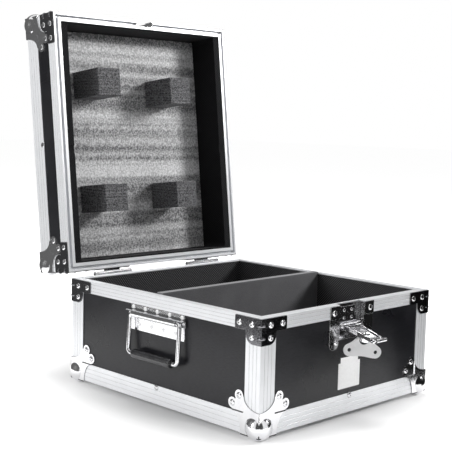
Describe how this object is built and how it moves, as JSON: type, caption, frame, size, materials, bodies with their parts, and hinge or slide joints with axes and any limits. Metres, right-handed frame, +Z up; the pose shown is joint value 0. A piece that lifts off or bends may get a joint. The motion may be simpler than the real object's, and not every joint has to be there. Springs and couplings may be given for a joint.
{
  "type": "flight case",
  "caption": "Open flight case with aluminium edges, ball corners, a foam-lined lid on stop hinges, a divided base, a recessed twist latch and folding side handles.",
  "frame": {"origin": "on the floor under the middle of the case, level with the flats that its four lower ball corners stand on", "axes": "+Z up; the latch faces -Y and the hinges are at +Y; the handles are on the -X and +X sides"},
  "size_m": [0.4338, 0.647, 0.6257],
  "materials": {
    "edge_aluminium": "ribbed extrusion, satin anodised",
    "bright_steel": "bright zinc plate",
    "dark_plate": "dark nickel plate",
    "pin_steel": "plain turned",
    "panel_laminate": "plywood with a charcoal phenolic face",
    "wall_lining": "black dotted foam lining",
    "divider_wood": "bare plywood",
    "divider_felt": "charcoal felt",
    "pad_foam": "grey polyethylene foam",
    "block_foam": "layered grey polyethylene foam",
    "grip_rubber": "smooth moulded"
  },
  "bodies": {
    "base": {"back_panel": "panel_laminate", "base_ball_corners": "bright_steel", "base_corner_posts": "edge_aluminium", "base_floor_lining": "wall_lining", "base_rim_back": "edge_aluminium", "base_rim_braces": "dark_plate", "base_rim_front": "edge_aluminium", "base_rim_left": "edge_aluminium", "base_rim_right": "edge_aluminium", "base_rivets": "bright_steel", "base_wall_lining": "wall_lining", "bottom_edge_back": "edge_aluminium", "bottom_edge_front": "edge_aluminium", "bottom_edge_left": "edge_aluminium", "bottom_edge_right": "edge_aluminium", "divider_board": "divider_wood", "divider_felt": "divider_felt", "floor_panel": "panel_laminate", "front_panel": "panel_laminate", "handle_plate_left": "bright_steel", "handle_plate_right": "bright_steel", "hinge_base_leaves": "bright_steel", "hinge_pins": "pin_steel", "latch_dish": "bright_steel", "latch_pin": "pin_steel", "latch_swing_plate": "bright_steel", "left_panel": "panel_laminate", "right_panel": "panel_laminate"},
    "lid": {"hinge_lid_leaves": "bright_steel", "latch_keeper": "bright_steel", "lid_back_panel": "panel_laminate", "lid_ball_corners": "bright_steel", "lid_corner_posts": "edge_aluminium", "lid_edge_back": "edge_aluminium", "lid_edge_front": "edge_aluminium", "lid_edge_left": "edge_aluminium", "lid_edge_right": "edge_aluminium", "lid_foam_blocks": "block_foam", "lid_foam_pad": "pad_foam", "lid_front_panel": "panel_laminate", "lid_left_panel": "panel_laminate", "lid_right_panel": "panel_laminate", "lid_rim_back": "edge_aluminium", "lid_rim_braces": "dark_plate", "lid_rim_front": "edge_aluminium", "lid_rim_left": "edge_aluminium", "lid_rim_right": "edge_aluminium", "lid_rivets": "bright_steel", "lid_top_panel": "panel_laminate", "lid_wall_lining": "wall_lining"},
    "left_handle": {"handle_bail_left": "bright_steel", "handle_grip_left": "grip_rubber"},
    "right_handle": {"handle_bail_right": "bright_steel", "handle_grip_right": "grip_rubber"},
    "latch_arm": {"latch_arm": "bright_steel"},
    "latch_hook": {"latch_hook": "bright_steel"},
    "key_spindle": {"key_spindle": "bright_steel"},
    "key": {"butterfly_key": "bright_steel"}
  },
  "joints": [
    {"name": "lid_hinge", "type": "hinge", "parent": "base", "child": "lid", "pos_m": [0, 0.2282, 0.17825], "axis": [1, 0, 0], "range_deg": [0, 96.65]},
    {"name": "left_handle_lift", "type": "hinge", "parent": "base", "child": "left_handle", "pos_m": [-0.206, 0, 0.1444], "axis": [0, 1, 0], "range_deg": [0, 85], "stiffness_Nm_per_rad": 0.12, "springref_deg": -28.65},
    {"name": "right_handle_lift", "type": "hinge", "parent": "base", "child": "right_handle", "pos_m": [0.206, 0, 0.1444], "axis": [0, -1, 0], "range_deg": [0, 85], "stiffness_Nm_per_rad": 0.12, "springref_deg": -28.65},
    {"name": "latch_arm_swing", "type": "hinge", "parent": "base", "child": "latch_arm", "pos_m": [0, -0.2156, 0.144], "axis": [-1, 0, 0], "range_deg": [0, 105]},
    {"name": "latch_hook_slide", "type": "slide", "parent": "latch_arm", "child": "latch_hook", "axis": [0, -0.9659, -0.2588], "range_m": [-0.003, 0.0003]},
    {"name": "key_twist", "type": "hinge", "parent": "latch_arm", "child": "key_spindle", "pos_m": [0, -0.24699, 0.13559], "axis": [0, 0.2588, -0.9659], "range_deg": [-65, 5]},
    {"name": "key_fold", "type": "hinge", "parent": "key_spindle", "child": "key", "pos_m": [0, -0.24435, 0.12574], "axis": [-0.866, 0.483, 0.1294], "range_deg": [-16, 76]}
  ],
  "couplings": [
    {"joint": "latch_hook_slide", "follows": "key_twist", "m_per_rad": 0.00255}
  ]
}
